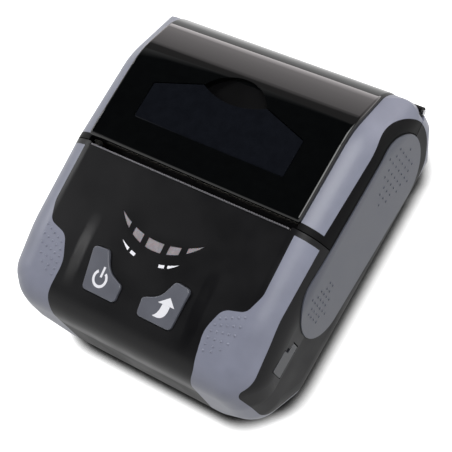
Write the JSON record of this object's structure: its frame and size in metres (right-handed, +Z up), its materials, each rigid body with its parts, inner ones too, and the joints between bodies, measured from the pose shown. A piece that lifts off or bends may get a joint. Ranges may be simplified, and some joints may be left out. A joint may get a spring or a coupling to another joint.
{
  "type": "thermal receipt printer",
  "caption": "Portable clamshell thermal receipt printer with a control panel, a hinged lid that carries the platen, a paper well, grey corner guards and oval side grips.",
  "frame": {"origin": "on the floor under the middle of the printer, at the underside of the rubber feet", "axes": "+X to the printer's right, seen from the control panel; -Y to the control panel's end; +Z up"},
  "size_m": [0.1078, 0.1194, 0.0528],
  "materials": {
    "case_black": "fine-textured satin moulding",
    "guard_grey": "soft-touch satin",
    "grip_grey": "soft-touch satin",
    "window": "translucent",
    "bare_steel": "bare",
    "key_slate": "satin",
    "board_green": "solder mask",
    "inner_black": "matt",
    "brass": "bare",
    "gear_white": "acetal",
    "head_ceramic": "glazed strip on ceramic",
    "aluminium": "bare",
    "gloss_black": "polished",
    "roller_rubber": "ground"
  },
  "bodies": {
    "body": {"lower_case": "case_black", "upper_case": "case_black", "front_guard_right": "guard_grey", "front_guard_left": "guard_grey", "corner_guard_right": "guard_grey", "corner_guard_left": "guard_grey", "rear_guard_right": "guard_grey", "rear_guard_left": "guard_grey", "side_grip_right": "grip_grey", "side_grip_left": "grip_grey", "light_windows": "window", "tear_bar": "bare_steel", "keypad_board": "board_green", "tact_switches": "bare_steel", "status_leds": "window", "main_board": "board_green", "usb_port": "bare_steel", "wireless_module": "bare_steel", "board_chips": "inner_black", "board_screws": "bare_steel", "case_screws": "bare_steel", "chassis_screws": "bare_steel", "paper_well": "inner_black", "chassis_frame": "bare_steel", "stepper_motor": "bare_steel", "gear_axle": "bare_steel", "head_pivot_pin": "bare_steel", "head_springs": "bare_steel", "paper_sensor": "inner_black", "hinge_pin": "bare_steel", "battery_pack": "inner_black", "battery_contacts": "brass", "rubber_feet": "roller_rubber"},
    "lid": {"lid_frame": "case_black", "lid_cover": "gloss_black", "lid_band_right": "guard_grey", "lid_band_left": "guard_grey", "platen_bearings": "gear_white"},
    "opener": {"open_paddle": "gloss_black", "latch_rod": "bare_steel"},
    "platen": {"platen_roller": "roller_rubber", "platen_shaft": "bare_steel", "platen_gear": "gear_white"},
    "head": {"print_head": "head_ceramic", "head_bracket": "aluminium"},
    "compound_gear": {"reduction_gear": "gear_white"},
    "pinion": {"motor_pinion": "brass"},
    "power_key": {"power_button": "key_slate"},
    "feed_key": {"feed_button": "key_slate"},
    "flap": {"port_cover": "grip_grey"},
    "catch": {"battery_latch": "inner_black"}
  },
  "joints": [
    {"name": "lid_hinge", "type": "hinge", "parent": "body", "child": "lid", "pos_m": [0, 0.05746, 0.0309], "axis": [-1, 0, 0], "range_deg": [0, 100]},
    {"name": "platen_spin", "type": "hinge", "parent": "lid", "child": "platen", "pos_m": [0, 0.00466, 0.04], "axis": [1, 0, 0], "continuous": true},
    {"name": "compound_gear_spin", "type": "hinge", "parent": "body", "child": "compound_gear", "pos_m": [-0.0465, 0.00211, 0.03085], "axis": [1, 0, 0], "continuous": true},
    {"name": "pinion_spin", "type": "hinge", "parent": "body", "child": "pinion", "pos_m": [-0.0465, -0.00324, 0.019], "axis": [1, 0, 0], "continuous": true},
    {"name": "head_tilt", "type": "hinge", "parent": "body", "child": "head", "pos_m": [0, -0.00434, 0.0306], "axis": [1, 0, 0], "range_deg": [0, 1.5], "stiffness_Nm_per_rad": 4, "springref_deg": -5.73, "deforming": ["head_springs"]},
    {"name": "opener_tilt", "type": "hinge", "parent": "lid", "child": "opener", "pos_m": [0, 0.01326, 0.0504], "axis": [1, 0, 0], "range_deg": [0, 22], "stiffness_Nm_per_rad": 0.03, "springref_deg": -17.19},
    {"name": "power_press", "type": "slide", "parent": "body", "child": "power_key", "axis": [0, 0.2858, -0.9583], "range_m": [0, 0.0006], "stiffness_N_per_m": 1500, "springref_m": -0.0003},
    {"name": "feed_press", "type": "slide", "parent": "body", "child": "feed_key", "axis": [0, 0.2858, -0.9583], "range_m": [0, 0.0006], "stiffness_N_per_m": 1500, "springref_m": -0.0003},
    {"name": "port_flap", "type": "hinge", "parent": "body", "child": "flap", "pos_m": [0.0529, -0.03174, 0.0303], "axis": [0, 0, 1], "range_deg": [0, 80]},
    {"name": "battery_latch_slide", "type": "slide", "parent": "body", "child": "catch", "axis": [0, 1, 0], "range_m": [0, 0.0025], "stiffness_N_per_m": 400, "springref_m": -0.001}
  ],
  "couplings": [
    {"joint": "compound_gear_spin", "follows": "platen_spin", "ratio": -1.375},
    {"joint": "pinion_spin", "follows": "platen_spin", "ratio": 4.5833}
  ]
}
